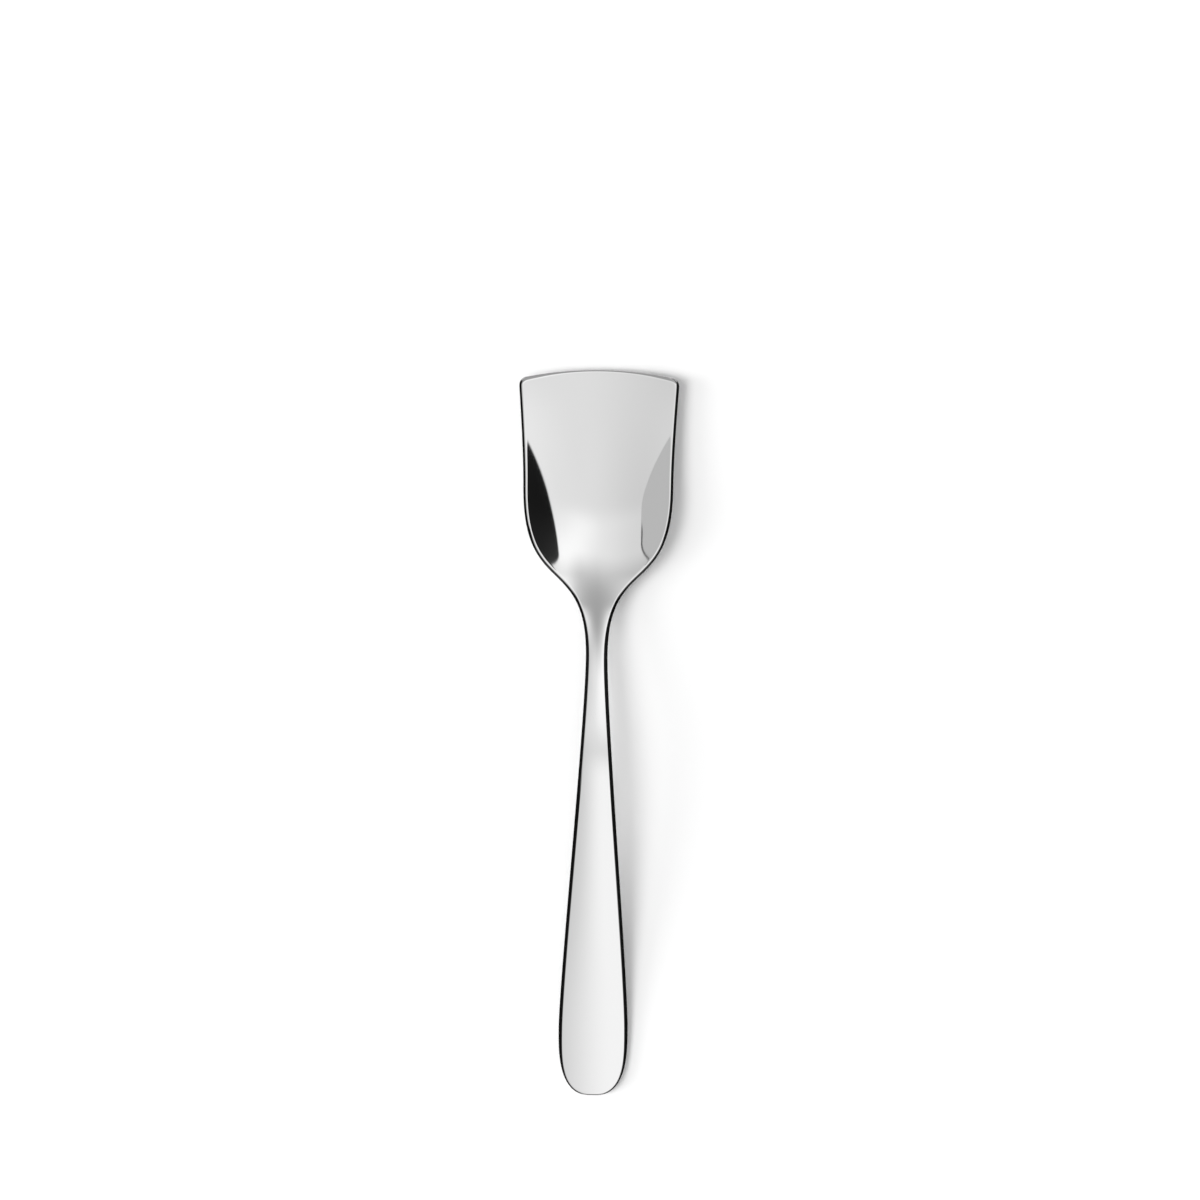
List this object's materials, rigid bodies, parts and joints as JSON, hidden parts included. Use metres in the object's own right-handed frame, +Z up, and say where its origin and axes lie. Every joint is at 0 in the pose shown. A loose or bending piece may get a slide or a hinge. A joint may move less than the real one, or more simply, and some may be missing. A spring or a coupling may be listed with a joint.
{
  "type": "ice cream spoon",
  "caption": "Small polished steel spoon with a wide shovel-shaped bowl, bowed front edge, slim arched neck and a flat tapered handle with a round end, for scooping and eating ice cream",
  "frame": {"origin": "on the table the spoon lies on, under the middle of its length and width", "axes": "+Y from the handle's end to the bowl's front edge, +Z up out of the bowl, X across the spoon"},
  "size_m": [0.0298, 0.135, 0.01],
  "materials": {
    "steel": "mirror-polished stainless steel, unplated"
  },
  "bodies": {
    "root": {"spoon": "steel"}
  },
  "joints": []
}
